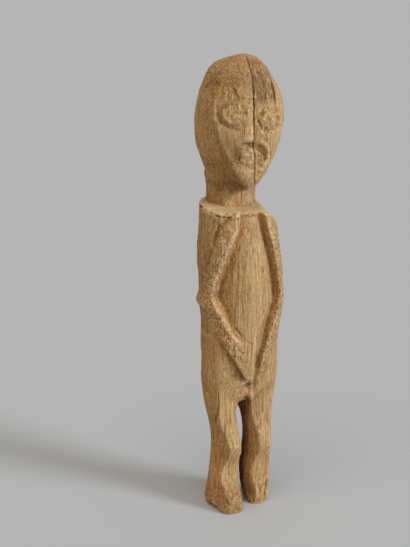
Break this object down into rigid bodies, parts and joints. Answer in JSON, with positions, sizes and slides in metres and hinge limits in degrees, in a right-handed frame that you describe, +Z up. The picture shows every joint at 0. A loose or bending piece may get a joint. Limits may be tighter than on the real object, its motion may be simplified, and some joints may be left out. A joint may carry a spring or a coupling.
{
  "type": "chamba figure",
  "caption": "Standing carved wooden figure with a long oval head, mask-like face, cylindrical trunk, arms cut in low relief round the belly and short bent legs.",
  "frame": {"origin": "on the ground under the middle of the figure's bounding box, where its two soles rest", "axes": "+Z up along the billet, the face looks towards -Y, +X to the right of someone facing the figure (the figure's own left)"},
  "size_m": [0.0956, 0.076, 0.5],
  "materials": {
    "carved_wood": "bare, weathered, dry hardwood with a worn brown patina, open grain and drying cracks"
  },
  "bodies": {
    "root": {"carved_figure": "carved_wood"}
  },
  "joints": []
}
